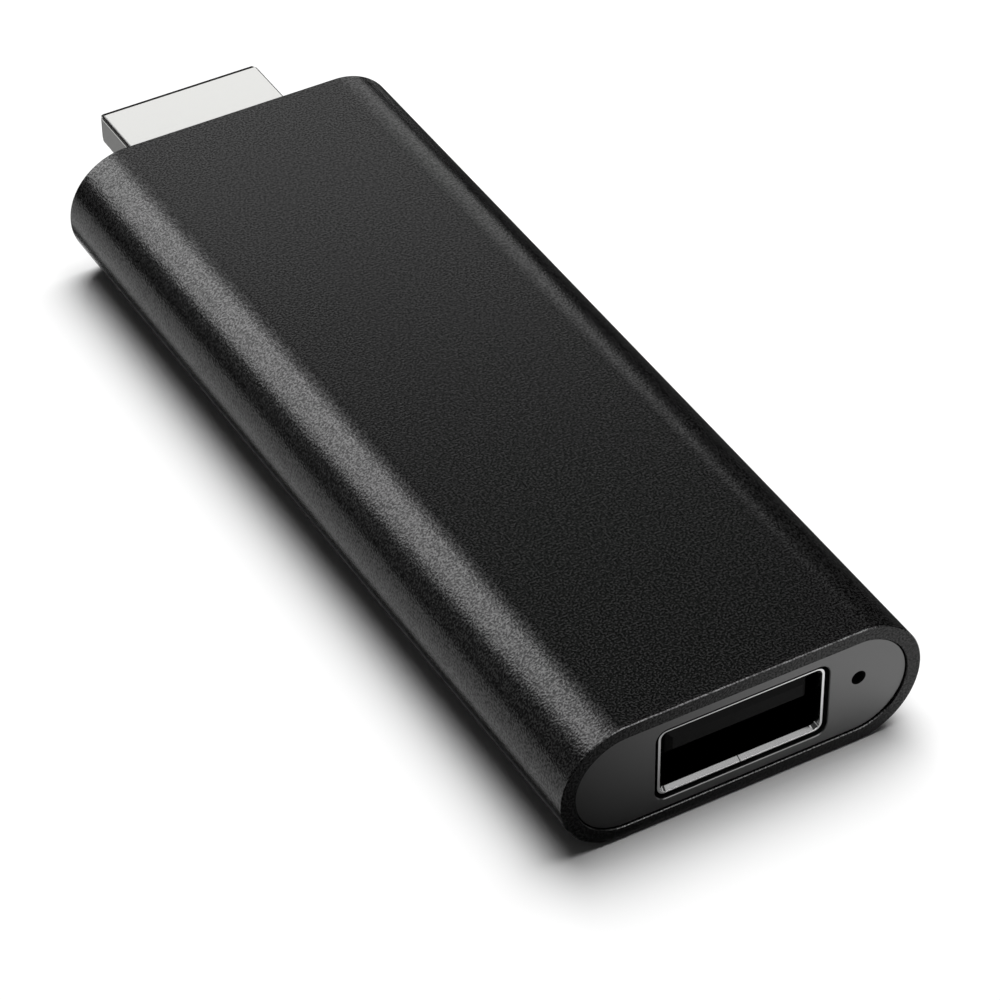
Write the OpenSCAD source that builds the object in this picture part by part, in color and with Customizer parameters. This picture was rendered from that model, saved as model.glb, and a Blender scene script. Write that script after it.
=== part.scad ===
// HDMI stick computer. A round-sided sleeve is closed by a bezel at each end.
// The plug stands out of the rear end, a USB-A port and a reset pinhole are in
// the front end, and a micro-USB power inlet is in the right side. Inside, a
// tray carries the board, its connectors, its chips and the heat spreader.
//
// Frame: millimetres, +Z up, +Y from the USB end towards the plug, with the
// origin at the centre of the bottom of the whole object, plug included.

/* [Body] */
// Width of the sleeve
body_w = 28.4; // [28:0.1:36]
// Height of the sleeve, which is also the diameter of its round sides
body_h = 10.2; // [10:0.1:13]
// Length of the sleeve without the plug
body_l = 74.8; // [74:0.1:100]
// Wall of the sleeve, seen as the rim round each end
wall = 1.1; // [0.9:0.05:1.2]
// Broken edge round each mouth of the sleeve
edge_break = 0.15; // [0.05:0.05:0.3]

/* [End bezels] */
// Depth of a bezel's face below the sleeve's rim
bezel_recess = 0.15; // [0.05:0.05:0.4]
// Thickness of a bezel's face
bezel_t = 1.4; // [1:0.1:1.8]
// Length of the skirt behind a bezel's face
skirt_l = 2.2; // [1.8:0.1:3]
// Wall of the skirt
skirt_t = 0.7; // [0.5:0.05:0.8]
// Gap between a bezel and the sleeve
bezel_gap = 0.06; // [0.02:0.01:0.1]
// Height of the snap ridges on the skirt
snap_h = 0.35; // [0.2:0.05:0.45]
// Length of a snap ridge across the sleeve
snap_w = 5; // [3:0.5:6]

/* [Plug] */
// Length of the plug outside the sleeve
plug_out = 9.8; // [9:0.1:12]
// Width of the plug's shell
plug_w = 13.9; // [13.5:0.05:14]
// Height of the plug's shell
plug_h = 4.45; // [4.2:0.05:4.6]
// Width of the plug's narrow underside
plug_base_w = 10.3; // [9.5:0.1:11]
// Height of the plug's upright sides
plug_side_h = 2.4; // [2:0.1:3]
// Drop of the plug's middle below the sleeve's middle
plug_drop = 0.7; // [0.5:0.05:0.8]
// Length of the plug inside the sleeve
plug_in = 6.9; // [6:0.1:8]
// Gap round the plug in the rear bezel's window
plug_gap = 0.25; // [0.1:0.05:0.3]
// Depth of the insulator's face inside the plug's mouth
insulator_recess = 0.9; // [0.5:0.1:2]

/* [USB-A port] */
// Width of the port's shell
usb_w = 13.1; // [12.9:0.05:13.3]
// Height of the port's shell
usb_h = 5.72; // [5.6:0.02:5.8]
// Length of the port's shell
usb_l = 13.8; // [12:0.1:14]
// Depth of the port's mouth below the bezel's face
usb_recess = 0.05; // [0:0.05:0.3]
// Gap round the port in the bezel's window
usb_gap = 0.25; // [0.1:0.05:0.3]
// Width of the tongue
tongue_w = 11.1; // [10.5:0.1:11.3]
// Thickness of the tongue
tongue_t = 1.84; // [1.7:0.02:2]
// Free space above the tongue
tongue_gap = 0.62; // [0.5:0.02:0.8]
// Depth of the tongue's face inside the port's mouth
tongue_recess = 0.55; // [0.3:0.05:1.5]

/* [Power inlet] */
// Distance from the sleeve's front end to the middle of the inlet
micro_from_front = 24; // [23:0.5:25]
// Width of the inlet's shell
micro_w = 7.5; // [7:0.1:8]
// Height of the inlet's shell
micro_h = 2.45; // [2.3:0.05:2.8]
// Length of the inlet's shell
micro_l = 5; // [4.8:0.1:5.6]
// Depth of the inlet's mouth below the sleeve's side
micro_recess = 0.6; // [0.5:0.1:1]
// Gap round the inlet in the sleeve's window
micro_gap = 0.4; // [0.2:0.05:0.6]

/* [Reset button] */
// Diameter of the reset pinhole
pinhole_d = 1.14; // [1:0.02:1.6]
// Distance from the sleeve's right side to the pinhole's middle
pinhole_inset = 5; // [4.9:0.05:5.1]
// Rise of the pinhole above the sleeve's middle
pinhole_rise = 0.75; // [0.7:0.05:1]
// Length of the pin guide behind the bezel's face
guide_l = 0.6; // [0.3:0.1:0.9]
// Travel of the reset plunger
press_travel = 0.25; // [0.1:0.05:0.3]

/* [Board] */
// Thickness of the board
board_t = 0.8; // [0.6:0.1:1]
// Side wall of the board tray
tray_side = 1.1; // [1:0.05:1.3]
// Floor of the board tray
tray_floor = 0.7; // [0.6:0.05:0.8]
// Width of the ledge that carries each edge of the board
ledge_w = 1.1; // [0.8:0.1:1.3]
// Diameter of the board screws
screw_d = 1.4; // [1.2:0.1:1.6]
// Height of the shield frame over the processor
shield_h = 1.5; // [1.4:0.1:1.7]
// Length of the shield frame
shield_l = 26; // [26:0.5:27]
// Thickness of the heat spreader
spreader_t = 0.8; // [0.5:0.1:1]

/* [Hidden] */
$fn = 64;

// Colours
sleeve_black = "#1b1b1b";
bezel_grey = "#3c3c3c";
plug_steel = "#e2e2e2";
port_steel = "#c8c8c8";
insulator_black = "#141414";
gold = "#d4b060";
board_green = "#1f4a33";
chip_black = "#222426";

// Small fits and sheet thicknesses
slit = 0.02;            // gap between moulded pieces that are pushed together
tray_gap = 0.12;        // gap between the tray and the sleeve
board_gap = 0.12;       // gap between the board's edge and the tray
notch_gap = 0.2;        // gap round a connector in its notch in the board
sheet = 0.3;            // steel of the connector shells
can_sheet = 0.15;       // steel of the shields and of the switch cover
over = 1;               // how far a cutting solid runs past the face it opens

// Lengthwise places
total_l = body_l + plug_out;
y_front = -total_l / 2;
y_back = y_front + body_l;
y_tip = total_l / 2;
bezel_face = y_front + bezel_recess;
bezel_inside = bezel_face + bezel_t;
skirt_end = bezel_inside + skirt_l;

// Heights
mid_z = body_h / 2;
ceiling = body_h - wall;
plug_z = mid_z - plug_drop;
board_bottom = plug_z - board_t / 2;
board_top = plug_z + board_t / 2;
tray_floor_top = wall + tray_gap + tray_floor;
shield_top = board_top + shield_h + can_sheet;

// Hollow of the sleeve
hollow_w = body_w - 2 * wall;
hollow_h = body_h - 2 * wall;

// Board
board_w = hollow_w - 2 * (tray_gap + tray_side + board_gap);
board_front = bezel_inside + guide_l + notch_gap;
board_rear = y_back - plug_in - slit;
lobe_x = (usb_w / 2 + notch_gap + board_w / 2) / 2;
front_screw_set = 8.7;  // from the board's front edge
rear_screw_set = 5.2;   // from the board's rear edge
screw_xs = [-lobe_x, lobe_x];
screw_ys = [board_front + front_screw_set, board_rear - rear_screw_set];
screw_head_d = screw_d + 1.1;
screw_head_h = 0.5;
screw_hole_d = screw_d + 0.2;
boss_d = screw_d + 1.6;
channel_w = board_w - 2 * ledge_w;

// USB-A port
usb_mouth = bezel_face + usb_recess;
usb_rear = usb_mouth + usb_l;
tongue_top = mid_z + usb_h / 2 - sheet - tongue_gap;
tongue_low = tongue_top - tongue_t;
tongue_bevel = 0.4;
usb_base_l = 3.4;
usb_corner = 0.65;
usb_contact_xs = [-3.5, -1, 1, 3.5];
usb_contact_w = 1;
usb_contact_t = 0.2;
usb_contact_set = 0.6;  // from the tongue's bevel to the contacts' ends
usb_contact_end = usb_mouth + tongue_recess + tongue_bevel + usb_contact_set;

// HDMI plug
plug_contact_pitch = 1;
plug_contact_w = 0.4;
plug_contact_t = 0.15;
plug_contact_set = 1;   // from the insulator's face to the contacts' ends
plug_tail_l = 2;
plug_slot_w = 11;
plug_base_l = 2.6;
plug_rear = y_back - plug_in;
plug_bend = 0.5;        // outer radius of the folds along the shell
tip_round = 0.4;        // radius of the tip's corners, seen from above

// Micro-USB inlet
micro_y = y_front + micro_from_front;
micro_mouth = body_w / 2 - micro_recess;
micro_inner = micro_mouth - micro_l;
micro_base_w = 5.7;
micro_side_h = 1.4;
micro_sheet = 0.25;
micro_bend = 0.45;
micro_tongue_z = mid_z + 0.1;
micro_tongue_recess = 0.9;
micro_pitch = 0.65;
micro_count = 5;
micro_contact_w = 0.3;
micro_contact_t = 0.12;
micro_contact_end = micro_mouth - micro_tongue_recess - micro_contact_t;
micro_contact_ys = [for (i = [0:micro_count - 1]) micro_y + (i - (micro_count - 1) / 2) * micro_pitch];
micro_housing_l = 1.6;

// Reset switch
pin_x = body_w / 2 - pinhole_inset;
pin_z = mid_z + pinhole_rise;
guide_wall = 0.6;
guide_d = pinhole_d + 2 * guide_wall;
switch_gap = 0.56;      // from the switch to the port's shell or the board's edge
switch_w = 2 * (min(pin_x - usb_w / 2, board_w / 2 - pin_x) - switch_gap);
switch_h = 2 * (pin_z - board_top);
switch_wall = 0.5;
switch_skin = 0.25;
press_gap = 0.06;       // running gap round the plunger
cavity_h = switch_h - 2 * switch_skin;
flange_t = 0.5;
flange_rim = 0.25;
nose_w = 0.4 * switch_w;
nose_h = cavity_h - 2 * press_gap - 2 * flange_rim;
cavity_w = nose_w + 2 * (flange_rim + press_gap);
nose_out = 0.55;
pip_l = 0.25;
pip_d = 0.5;
dome_h = press_travel + 0.12;
dome_t = 0.08;
dome_r = min(cavity_w, cavity_h) / 2 - 2 * press_gap;
switch_front = bezel_inside + guide_l + 0.5 + nose_out;
cavity_l = press_gap + flange_t + pip_l + dome_h + dome_t;
switch_l = 2 * switch_wall + cavity_l;

// Chips and shields
shield_margin = 1.3;    // from the board's edge to the shield
shield_set = 3.2;       // from the inlet to the shield
shield_w = board_w - 2 * shield_margin;
shield_front = micro_y + micro_w / 2 + shield_set;
shield_mid = shield_front + shield_l / 2;
chip_gap = 0.5;
chip_end_gap = 1;       // from the shield's ends to the processor and the flash chip
memory_end_gap = 1.5;   // from the shield's ends to the memory chips
memory_gap = 0.62;      // between the memory chips and the processor
flash_gap = 2;          // between the flash chip and the processor
memory_h = 0.9;
flash_w = 11.5;
flash_h = 1;
processor_size = [12, 12, 1];
memory_size = [
    shield_w - 2 * (can_sheet + chip_gap) - processor_size[0] - memory_gap,
    shield_l / 2 - memory_end_gap - chip_gap,
    memory_h
];
flash_size = [flash_w, shield_l - 2 * chip_end_gap - processor_size[1] - flash_gap, flash_h];
power_chip_size = [4, 4, 0.9];
inductor_size = [2.6, 2.6, 1.4];
capacitor_size = [1, 0.5, 0.5];
capacitor_pitch = [1.8, 1.3];
capacitor_count = [6, 5];
crystal_size = [2.5, 2, 0.7];
wireless_size = [11, 11, 0.6];
wireless_can_h = 1.3;
antenna_size = [1.4, 2.6, 1.1];
crystal_gap = 1;
chip_left = -shield_w / 2 + can_sheet + chip_gap;
memory_x = shield_w / 2 - can_sheet - chip_gap - memory_size[0] / 2;
processor_at = [chip_left + processor_size[0] / 2, shield_front + chip_end_gap + processor_size[1] / 2];
flash_at = [chip_left + flash_size[0] / 2, shield_front + shield_l - chip_end_gap - flash_size[1] / 2];
power_y = (shield_front + shield_l + board_rear - plug_tail_l) / 2;
wireless_margin = 1;
wireless_at = [(wireless_size[0] - board_w) / 2 + wireless_margin, micro_y];
crystal_offsets = [-4, 1];

// Heat path
filler_inset = 0.5;
pad_inset = 2;
spreader_gap = 0.35;    // gap between the spreader and the sleeve's ceiling
spreader_wing = 0.4;    // how far the spreader reaches past the flat of the ceiling on each side
spreader_w = hollow_w - hollow_h + 2 * spreader_wing;
spreader_l = 34;
spreader_round = 1.5;
spreader_top = ceiling - spreader_gap;

// Extrudes a flat shape along X, with the shape's first axis along Y
module along_x(x0, x1) {
    translate([x0, 0, 0]) rotate([90, 0, 90]) linear_extrude(x1 - x0) children();
}

// Extrudes a flat shape along Y, with the shape's second axis along Z
module along_y(y0, y1) {
    translate([0, y1, 0]) rotate([90, 0, 0]) linear_extrude(y1 - y0) children();
}

// Extrudes a plan along Z
module along_z(z0, z1) {
    translate([0, 0, z0]) linear_extrude(z1 - z0) children();
}

// A round rod along Y
module rod_y(d, y0, y1) {
    translate([0, y0, 0]) rotate([-90, 0, 0]) cylinder(d = d, h = y1 - y0);
}

// A block between two corners
module block(low, high) {
    translate(low) cube(high - low);
}

// A chip or other small part that lies on the board's top, centred on a point
module on_board(at, size) {
    translate([at[0] - size[0] / 2, at[1] - size[1] / 2, board_top]) cube(size);
}

// A part that hangs under the board, centred on a point
module under_board(at, size) {
    translate([at[0] - size[0] / 2, at[1] - size[1] / 2, board_bottom - size[2]]) cube(size);
}

// A flat shape with round ends, centred on a height
module stadium(w, h, z = mid_z) {
    translate([0, z]) {
        square([w - h, h], center = true);
        for (side = [-1, 1]) translate([side * (w - h) / 2, 0]) circle(d = h);
    }
}

// The arc that rounds corner b of an outline between its neighbours a and c
function round_corner(a, b, c, r, steps) =
    let (
        u = (a - b) / norm(a - b),
        v = (c - b) / norm(c - b),
        half = acos(u * v) / 2,
        centre = b + (u + v) / norm(u + v) * r / sin(half),
        from = b + u * r / tan(half) - centre,
        to = b + v * r / tan(half) - centre,
        start = atan2(from[1], from[0]),
        raw = atan2(to[1], to[0]) - start,
        sweep = raw > 180 ? raw - 360 : raw < -180 ? raw + 360 : raw
    )
    [for (i = [0:steps]) centre + r * [cos(start + sweep * i / steps), sin(start + sweep * i / steps)]];

// An outline with every corner rounded
function round_outline(points, r, steps = 4) =
    let (n = len(points))
    [for (i = [0:n - 1])
        each round_corner(points[(i + n - 1) % n], points[i], points[(i + 1) % n], r, steps)];

// A rectangle with round corners, centred on the origin
module round_rect(w, h, r) {
    polygon(round_outline([[w, h], [-w, h], [-w, -h], [w, -h]] / 2, r));
}

// Outline of a plug or socket with upright sides over a narrower base, set in by t
function keyed_outline(w, base_w, h, side_h, t, r) =
    let (
        side_z = h / 2 - side_h,
        slope = atan2(side_z + h / 2, (w - base_w) / 2),
        side = [w / 2 - t, side_z + t * (1 - sin(slope)) / cos(slope)],
        base = [base_w / 2 - t * (1 - cos(slope)) / sin(slope), t - h / 2]
    )
    round_outline([
        [w / 2 - t, h / 2 - t], [t - w / 2, h / 2 - t], [-side[0], side[1]],
        [-base[0], base[1]], base, side
    ], r);

// Sections of the three connectors, set in by a wall or, below zero, out by a gap
module usb_section(inset = 0) {
    translate([0, mid_z]) round_rect(usb_w - 2 * inset, usb_h - 2 * inset, usb_corner - inset);
}

module plug_section(inset = 0) {
    translate([0, plug_z])
        polygon(keyed_outline(plug_w, plug_base_w, plug_h, plug_side_h, inset, plug_bend - inset));
}

module micro_section(inset = 0) {
    translate([micro_y, mid_z])
        polygon(keyed_outline(micro_w, micro_base_w, micro_h, micro_side_h, inset, micro_bend - inset));
}

// Sleeve: a moulded tube with round sides and a broken edge round both mouths.
module sleeve_outside() {
    r = body_h / 2;
    e = edge_break;
    flat = (body_w - body_h) / 2;
    along_x(-flat, flat) polygon([
        [y_front, e], [y_front + e, 0], [y_back - e, 0], [y_back, e],
        [y_back, body_h - e], [y_back - e, body_h], [y_front + e, body_h], [y_front, body_h - e]
    ]);
    for (side = [-1, 1])
        translate([side * flat, 0, mid_z]) rotate([-90, 0, 0]) rotate_extrude() polygon([
            [0, y_front], [r - e, y_front], [r, y_front + e], [r, y_back - e], [r - e, y_back], [0, y_back]
        ]);
}

// Snap ridges on the top and bottom of a bezel's skirt, or with grow the pockets they click into
module snap_ridges(grow = 0) {
    foot = bezel_gap;
    middle = bezel_t + skirt_l - 1;
    for (turn = [0, 1], x = [-1, 1] * (hollow_w - hollow_h) / 4)
        translate([0, 0, turn * body_h]) mirror([0, 0, turn])
            along_x(x - snap_w / 2 - grow, x + snap_w / 2 + grow) polygon([
                [middle - 0.6 - grow, wall + foot], [middle - 0.15 - grow, wall + foot - snap_h - grow],
                [middle + 0.15 + grow, wall + foot - snap_h - grow], [middle + 0.6 + grow, wall + foot]
            ]);
}

// Places a bezel's own frame, with its face at 0 and its skirt along +Y, at the front or rear end
module at_front() {
    translate([0, bezel_face, 0]) children();
}

module at_rear() {
    translate([0, y_back - bezel_recess, 0]) mirror([0, 1, 0]) children();
}

module outer_sleeve() {
    color(sleeve_black) difference() {
        sleeve_outside();
        along_y(y_front - over, y_back + over) stadium(hollow_w, hollow_h);
        at_front() snap_ridges(bezel_gap);
        at_rear() snap_ridges(bezel_gap);
        along_x(body_w / 2 - body_h / 2, body_w / 2 + over) translate([micro_y, mid_z])
            round_rect(micro_w + 2 * micro_gap, micro_h + 2 * micro_gap, 0.8);
    }
}

// Bezels: moulded caps with a flat face, a skirt and snap ridges.
module bezel_blank() {
    cap_w = hollow_w - 2 * bezel_gap;
    cap_h = hollow_h - 2 * bezel_gap;
    difference() {
        along_y(0, bezel_t + skirt_l) stadium(cap_w, cap_h);
        along_y(bezel_t, bezel_t + skirt_l + over) stadium(cap_w - 2 * skirt_t, cap_h - 2 * skirt_t);
    }
    snap_ridges();
}

module front_bezel() {
    color(bezel_grey) at_front() difference() {
        union() {
            bezel_blank();
            translate([pin_x, 0, pin_z]) rod_y(guide_d, bezel_t / 2, bezel_t + guide_l);
        }
        along_y(-over, bezel_t + skirt_l + over) usb_section(-usb_gap);
        translate([pin_x, 0, pin_z]) rod_y(pinhole_d, -over, bezel_t + guide_l + over);
    }
}

module rear_bezel() {
    color(bezel_grey) at_rear() difference() {
        bezel_blank();
        along_y(-over, bezel_t + skirt_l + over) plug_section(-plug_gap);
    }
}

// Tray: a moulded channel that slides into the sleeve and carries the board on two ledges.
module board_tray() {
    tray_front = skirt_end + board_gap;
    tray_rear = y_back - bezel_recess - bezel_t - skirt_l - board_gap;
    tray_rim = board_top + 0.8;
    pocket_x = board_w / 2 + board_gap;
    windows = 3;
    window_web = 4;
    window_margin = 3.5;
    window_round = 1.5;
    window_l = (screw_ys[1] - screw_ys[0]) / windows - window_web;
    color("#2a2a2c") difference() {
        union() {
            difference() {
                along_y(tray_front, tray_rear) stadium(hollow_w - 2 * tray_gap, hollow_h - 2 * tray_gap);
                block([-body_w, y_front, tray_rim], [body_w, y_back, body_h]);
                block([-pocket_x, y_front, board_bottom], [pocket_x, y_back, body_h]);
                block([-channel_w / 2, y_front, tray_floor_top], [channel_w / 2, y_back, body_h]);
            }
            for (x = screw_xs, y = screw_ys)
                translate([x, y, tray_floor_top - tray_floor / 2])
                    cylinder(d = boss_d, h = board_bottom - tray_floor_top + tray_floor / 2);
        }
        for (x = screw_xs, y = screw_ys)
            translate([x, y, tray_floor_top]) cylinder(d = screw_d + 2 * slit, h = body_h);
        for (i = [0:windows - 1])
            along_z(0, tray_floor_top + over)
                translate([0, screw_ys[0] + (screw_ys[1] - screw_ys[0]) * (i + 0.5) / windows])
                    round_rect(channel_w - 2 * window_margin, window_l, window_round);
        along_y(y_front, usb_rear + usb_gap) usb_section(-usb_gap);
        along_y(plug_rear - plug_gap, y_back) plug_section(-plug_gap);
        block([channel_w / 2 - over, micro_y - micro_w / 2 - 2 * notch_gap, mid_z - micro_h / 2 - notch_gap],
              [body_w / 2, micro_y + micro_w / 2 + 2 * notch_gap, body_h]);
    }
}

module board_screws() {
    length = board_top - tray_floor_top - notch_gap;
    cross = [screw_d, 0.24, 0.56];
    color("#9a9a9e") for (x = screw_xs, y = screw_ys) translate([x, y, board_top]) difference() {
        union() {
            cylinder(d = screw_head_d, h = screw_head_h);
            translate([0, 0, -length]) cylinder(d = screw_d, h = length + screw_head_h / 2);
        }
        for (turn = [0, 90]) translate([0, 0, screw_head_h]) rotate(turn) cube(cross, center = true);
    }
}

// Board: laminate notched for the two ports, with holes for the screws.
module main_board() {
    color(board_green) along_z(board_bottom, board_top) difference() {
        translate([-board_w / 2, board_front]) square([board_w, board_rear - board_front]);
        translate([-usb_w / 2 - notch_gap, board_front - over])
            square([usb_w + 2 * notch_gap, usb_rear + notch_gap - board_front + over]);
        translate([micro_inner - notch_gap, micro_y - micro_w / 2 - notch_gap])
            square([body_w, micro_w + 2 * notch_gap]);
        for (x = screw_xs, y = screw_ys) translate([x, y]) circle(d = screw_hole_d);
    }
}

// USB-A port: a folded steel shell with spring fingers and solder wings, round a
// moulded housing whose tongue carries four contacts on its underside.
module usb_a_shell() {
    finger = [2.2, 6, 0.2];
    finger_from = usb_mouth + 2.2;
    finger_xs = [-3.1, 3.1];
    finger_root = 0.3;
    finger_dip = 3;
    wing = [1.5, 2.4];
    wing_y = usb_mouth + usb_l / 2;
    color(port_steel) {
        difference() {
            along_y(usb_mouth, usb_rear) usb_section();
            along_y(usb_mouth - over, usb_rear + over) usb_section(sheet);
            for (x = finger_xs)
                translate([x - finger[0] / 2 - notch_gap, finger_from, mid_z - usb_h])
                    cube([finger[0] + 2 * notch_gap, finger[1], 2 * usb_h]);
        }
        for (turn = [0, 180], x = finger_xs)
            translate([x, finger_from + finger[1], mid_z]) rotate([0, turn, 0])
                translate([0, 0, usb_h / 2 - sheet]) rotate([finger_dip, 0, 0])
                    translate([-finger[0] / 2, finger_root - finger[1], 0]) cube(finger);
        for (side = [0, 1]) mirror([side, 0, 0])
            block([usb_w / 2 - sheet, wing_y - wing[1] / 2, board_top],
                  [usb_w / 2 + wing[0], wing_y + wing[1] / 2, board_top + sheet]);
    }
}

// Contacts run under the tongue, back through the base and down to the board
module usb_a_contact_strips() {
    w = usb_contact_w;
    t = usb_contact_t;
    top = tongue_low + t;
    tail_l = 1.6;
    for (x = usb_contact_xs) translate([x - w / 2, 0, 0]) {
        block([0, usb_contact_end, tongue_low], [w, usb_rear + t, top]);
        block([0, usb_rear, board_top], [w, usb_rear + t, top]);
        block([0, usb_rear, board_top], [w, usb_rear + tail_l, board_top + t]);
    }
}

module usb_a_housing() {
    front = usb_mouth + tongue_recess;
    b = tongue_bevel;
    color(insulator_black) difference() {
        union() {
            along_x(-tongue_w / 2, tongue_w / 2) polygon([
                [front, tongue_low + b], [front + b, tongue_low], [usb_rear, tongue_low],
                [usb_rear, tongue_top], [front + b, tongue_top], [front, tongue_top - b]
            ]);
            along_y(usb_rear - usb_base_l, usb_rear) usb_section(sheet + slit);
        }
        for (side = [0, 1]) mirror([side, 0, 0])
            translate([tongue_w / 2 - b, front, tongue_low - over]) rotate(45) translate([-b, -2 * b, 0])
                cube([4 * b, 2 * b, tongue_t + 2 * over]);
        usb_a_contact_strips();
        for (x = usb_contact_xs)
            block([x - usb_contact_w / 2, usb_contact_end, tongue_low - over],
                  [x + usb_contact_w / 2, usb_rear - usb_base_l, tongue_low + usb_contact_t]);
    }
}

module usb_a_contacts() {
    color(gold) usb_a_contact_strips();
}

// Plug: a folded steel shell keyed to its socket, round a moulded insulator with
// a slot for the socket's tongue and two rows of contacts that straddle the board.
module hdmi_shell() {
    fin_l = 1.8;
    plan_l = plug_out + plug_in + over;
    latch = [1.2, 2];
    latch_round = 0.3;
    latch_x = 2.6;
    latch_from_tip = 4.4;
    color(plug_steel) {
        difference() {
            intersection() {
                along_y(plug_rear, y_tip) plug_section();
                along_z(0, body_h) translate([0, y_tip - plan_l / 2]) round_rect(plug_w, plan_l, tip_round);
            }
            along_y(plug_rear - over, y_tip + over) plug_section(sheet);
            for (side = [0, 1]) mirror([side, 0, 0])
                along_z(0, plug_z) translate([latch_x, y_tip - latch_from_tip])
                    round_rect(latch[0], latch[1], latch_round);
        }
        for (side = [0, 1]) mirror([side, 0, 0])
            block([plug_w / 2 - sheet, plug_rear - fin_l, board_top],
                  [plug_w / 2, plug_rear + sheet, plug_z + plug_h / 4]);
    }
}

function hdmi_row(count) = [for (i = [0:count - 1]) (i - (count - 1) / 2) * plug_contact_pitch];

module hdmi_contact_strips() {
    from = plug_rear - plug_tail_l;
    length = y_tip - insulator_recess - plug_contact_set - from;
    w = plug_contact_w;
    for (x = hdmi_row(10))
        translate([x - w / 2, from, board_top]) cube([w, length, plug_contact_t]);
    for (x = hdmi_row(9))
        translate([x - w / 2, from, board_bottom - plug_contact_t]) cube([w, length, plug_contact_t]);
}

module hdmi_insulator() {
    front = y_tip - insulator_recess;
    slot_h = board_t + 2 * plug_contact_t;
    color(insulator_black) difference() {
        along_y(plug_rear, front) plug_section(sheet + slit);
        along_y(plug_rear + plug_base_l, front + over) translate([0, plug_z])
            square([plug_slot_w, slot_h], center = true);
        hdmi_contact_strips();
    }
}

module hdmi_contacts() {
    color(gold) hdmi_contact_strips();
}

// Power inlet: a small keyed shell with solder wings, round a housing whose
// tongue carries five contacts.
module micro_usb_shell() {
    wing = [2, 1.4];
    wing_x = micro_inner + 0.6;
    color(port_steel) {
        difference() {
            along_x(micro_inner, micro_mouth) micro_section();
            along_x(micro_inner - over, micro_mouth + over) micro_section(micro_sheet);
        }
        translate([0, micro_y, 0]) for (side = [0, 1]) mirror([0, side, 0])
            block([wing_x, micro_w / 2 - micro_sheet, board_top],
                  [wing_x + wing[0], micro_w / 2 + wing[1], board_top + micro_sheet]);
    }
}

module micro_usb_contact_strips() {
    w = micro_contact_w;
    t = micro_contact_t;
    tail_l = 1.2;
    top = micro_tongue_z + t;
    for (y = micro_contact_ys)
        translate([0, y - w / 2, 0]) {
            block([micro_inner - t, 0, micro_tongue_z], [micro_contact_end, w, top]);
            block([micro_inner - t, 0, board_top], [micro_inner, w, top]);
            block([micro_inner - tail_l, 0, board_top], [micro_inner, w, board_top + t]);
        }
}

module micro_usb_housing() {
    tongue = [micro_l - micro_tongue_recess, 3.7, 0.55];
    base = micro_inner + micro_housing_l;
    color(insulator_black) difference() {
        union() {
            along_x(micro_inner, base) micro_section(micro_sheet + slit);
            translate([micro_inner, micro_y - tongue[1] / 2, micro_tongue_z]) cube(tongue);
        }
        micro_usb_contact_strips();
        for (y = micro_contact_ys)
            block([base, y - micro_contact_w / 2, micro_tongue_z - over],
                  [micro_contact_end, y + micro_contact_w / 2, micro_tongue_z + micro_contact_t]);
    }
}

module micro_usb_contacts() {
    color(gold) micro_usb_contact_strips();
}

// Reset switch: a side-push switch on the board behind the pinhole. The plunger's
// flange stays behind the body's front wall and its pip rests on the snap dome.
module reset_switch_body() {
    inside = switch_front + switch_wall;
    mouth = [nose_w + 2 * press_gap, nose_h + 2 * press_gap];
    color("#2b2b2b") difference() {
        block([pin_x - switch_w / 2, switch_front, board_top],
              [pin_x + switch_w / 2, switch_front + switch_l, board_top + switch_h]);
        translate([pin_x, switch_front, pin_z]) cube([mouth[0], 4 * switch_wall, mouth[1]], center = true);
        translate([pin_x - cavity_w / 2, inside, pin_z - cavity_h / 2]) cube([cavity_w, cavity_l, cavity_h]);
    }
}

module reset_switch_cover() {
    set_back = 0.2;
    x = switch_w / 2;
    out = x + can_sheet;
    low = board_top + 0.3;
    top = board_top + switch_h;
    color(port_steel) translate([pin_x, 0, 0])
        along_y(switch_front + set_back, switch_front + switch_l - set_back) polygon([
            [-x, low], [-x, top], [x, top], [x, low],
            [out, low], [out, top + can_sheet], [-out, top + can_sheet], [-out, low]
        ]);
}

// A shallow spherical cap of sheet that bulges towards the plunger
module reset_dome() {
    sphere_r = (dome_r * dome_r + dome_h * dome_h) / (2 * dome_h);
    edge = asin(dome_r / sphere_r);
    steps = 6;
    arc = [for (i = [0:steps]) edge * i / steps];
    color("#d9d9d9") translate([pin_x, switch_front + switch_wall + cavity_l, pin_z]) rotate([90, 0, 0])
        translate([0, 0, dome_h - sphere_r]) rotate_extrude() polygon(concat(
            [for (a = arc) (sphere_r + dome_t) * [sin(a), cos(a)]],
            [for (i = [steps:-1:0]) sphere_r * [sin(arc[i]), cos(arc[i])]]
        ));
}

module reset_plunger() {
    flange_front = switch_front + switch_wall + press_gap / 2;
    color("#e8e4d8") translate([pin_x, 0, pin_z]) {
        translate([-nose_w / 2, switch_front - nose_out, -nose_h / 2])
            cube([nose_w, nose_out + switch_wall + press_gap, nose_h]);
        translate([-nose_w / 2 - flange_rim, flange_front, -nose_h / 2 - flange_rim])
            cube([nose_w + 2 * flange_rim, flange_t, nose_h + 2 * flange_rim]);
        rod_y(pip_d, flange_front + flange_t / 2, flange_front + flange_t + pip_l);
    }
}

// Chips, passive parts and radio parts soldered to the board.
module processor() {
    color(chip_black) on_board(processor_at, processor_size);
}

module memory_chips() {
    color(chip_black) for (end = [-1, 1])
        on_board([memory_x, shield_mid + end * (memory_size[1] / 2 + chip_gap)], memory_size);
}

module flash_chip() {
    color(chip_black) on_board(flash_at, flash_size);
}

module power_chip() {
    color(chip_black) on_board([0, power_y], power_chip_size);
}

module power_inductors() {
    x = (power_chip_size[0] + inductor_size[0]) / 2 + chip_gap;
    color("#3a3c40") for (side = [-1, 1]) on_board([side * x, power_y], inductor_size);
}

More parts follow.
